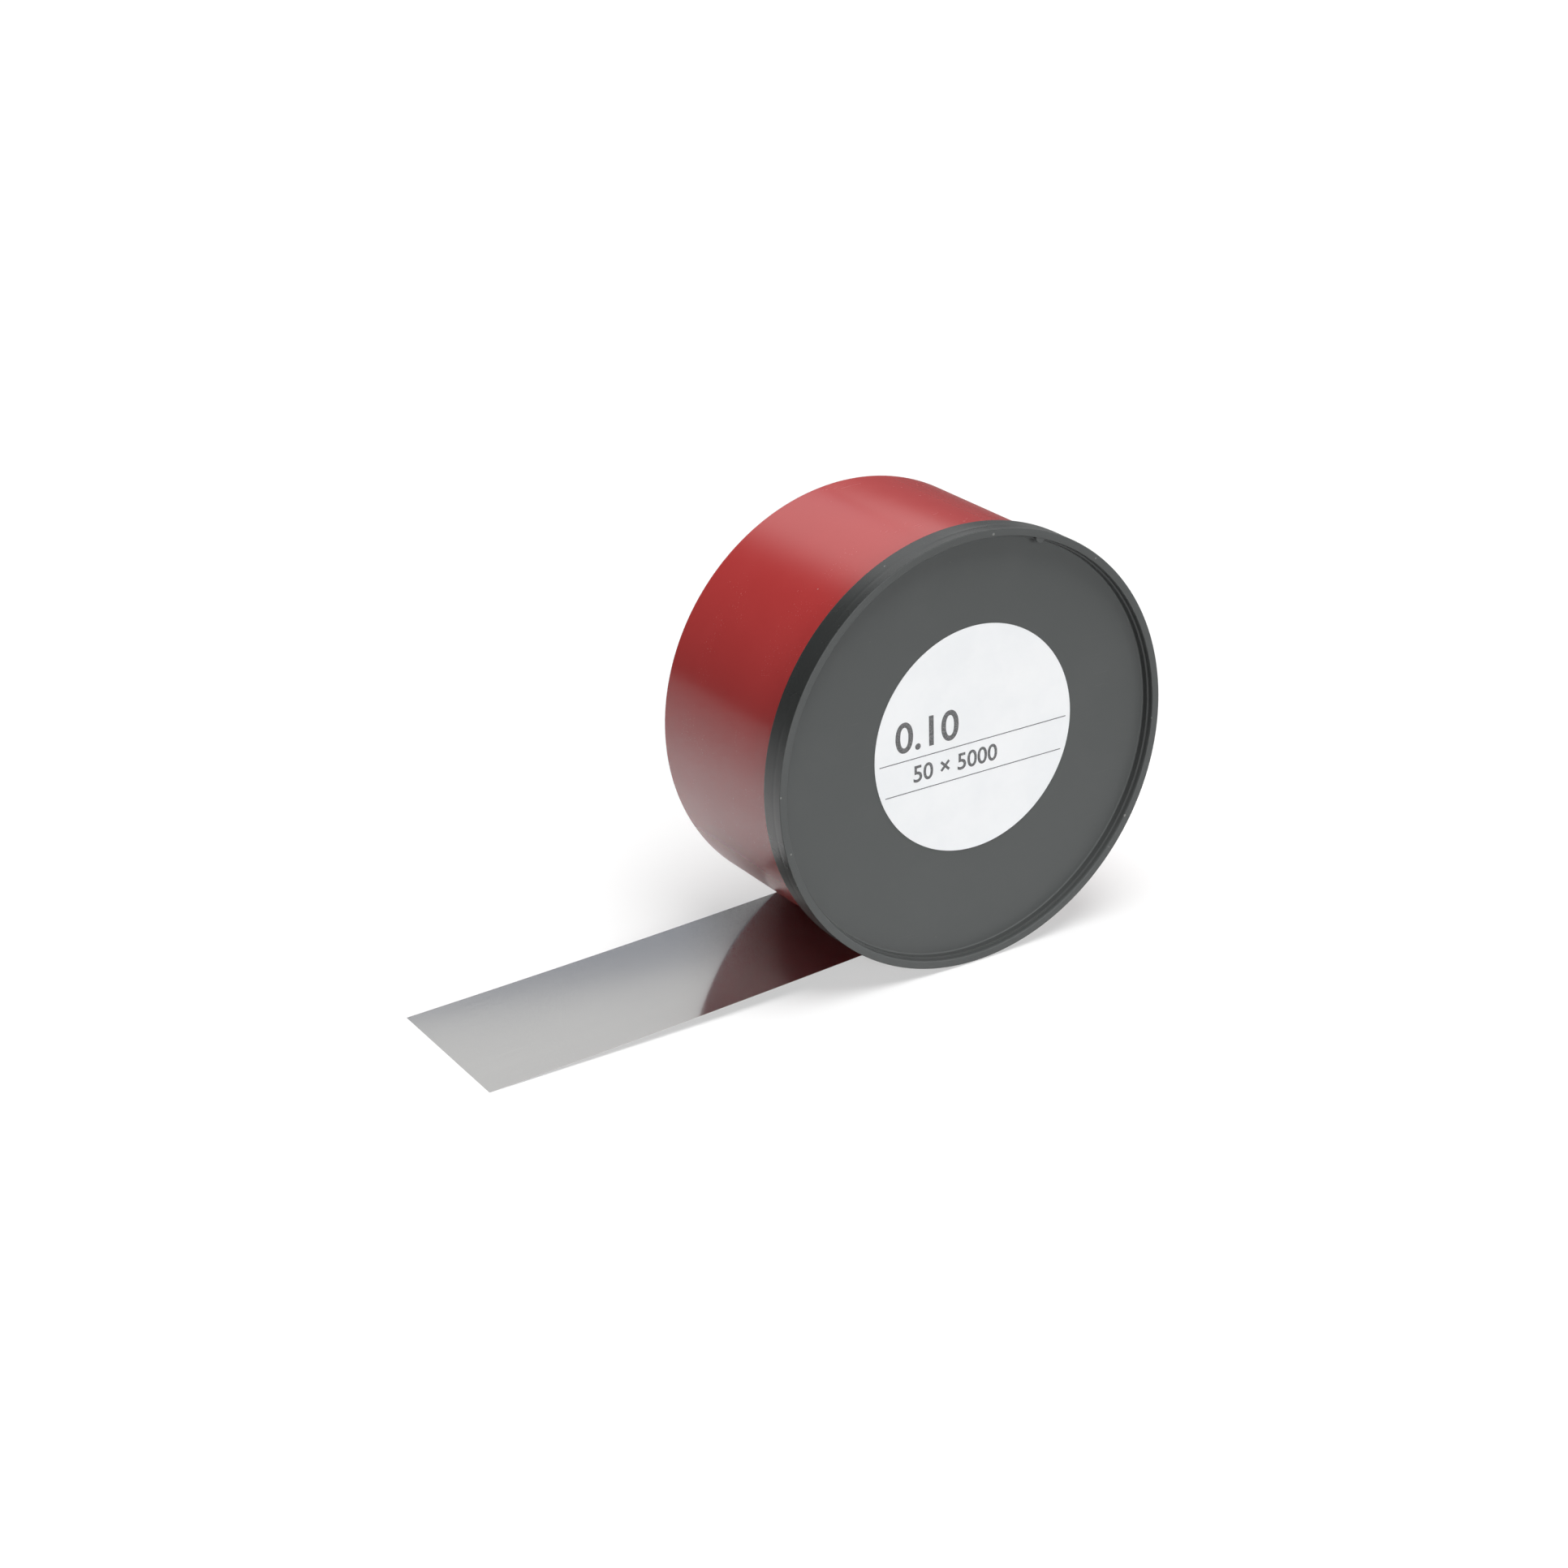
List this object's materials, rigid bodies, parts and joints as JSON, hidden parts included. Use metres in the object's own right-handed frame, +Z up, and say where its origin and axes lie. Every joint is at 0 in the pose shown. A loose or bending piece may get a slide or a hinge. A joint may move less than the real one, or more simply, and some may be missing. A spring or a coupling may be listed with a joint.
{
  "type": "shim stock roll",
  "caption": "Coil of thin spring-steel shim strip in a round moulded case with a push-on lid, its free end drawn out of a slot at the foot.",
  "frame": {"origin": "on the floor, under the middle of the whole object's box", "axes": "+X runs from the strip's free end towards the case, +Y runs level from the lid towards the back of the case, +Z is up"},
  "size_m": [0.2226, 0.0708, 0.1337],
  "materials": {
    "case_plastic": "satin moulded plastic",
    "lid_plastic": "satin moulded plastic",
    "label_paper": "smooth printed paper label",
    "strip_steel": "cold-rolled, fine lengthways grain"
  },
  "bodies": {
    "case": {"case_body": "case_plastic", "steel_strip": "strip_steel"},
    "lid": {"lid": "lid_plastic", "label": "label_paper"}
  },
  "joints": [
    {"name": "lid_pull", "type": "slide", "parent": "case", "child": "lid", "axis": [0, -0.9993, 0.0367], "range_m": [0, 0.04]}
  ]
}
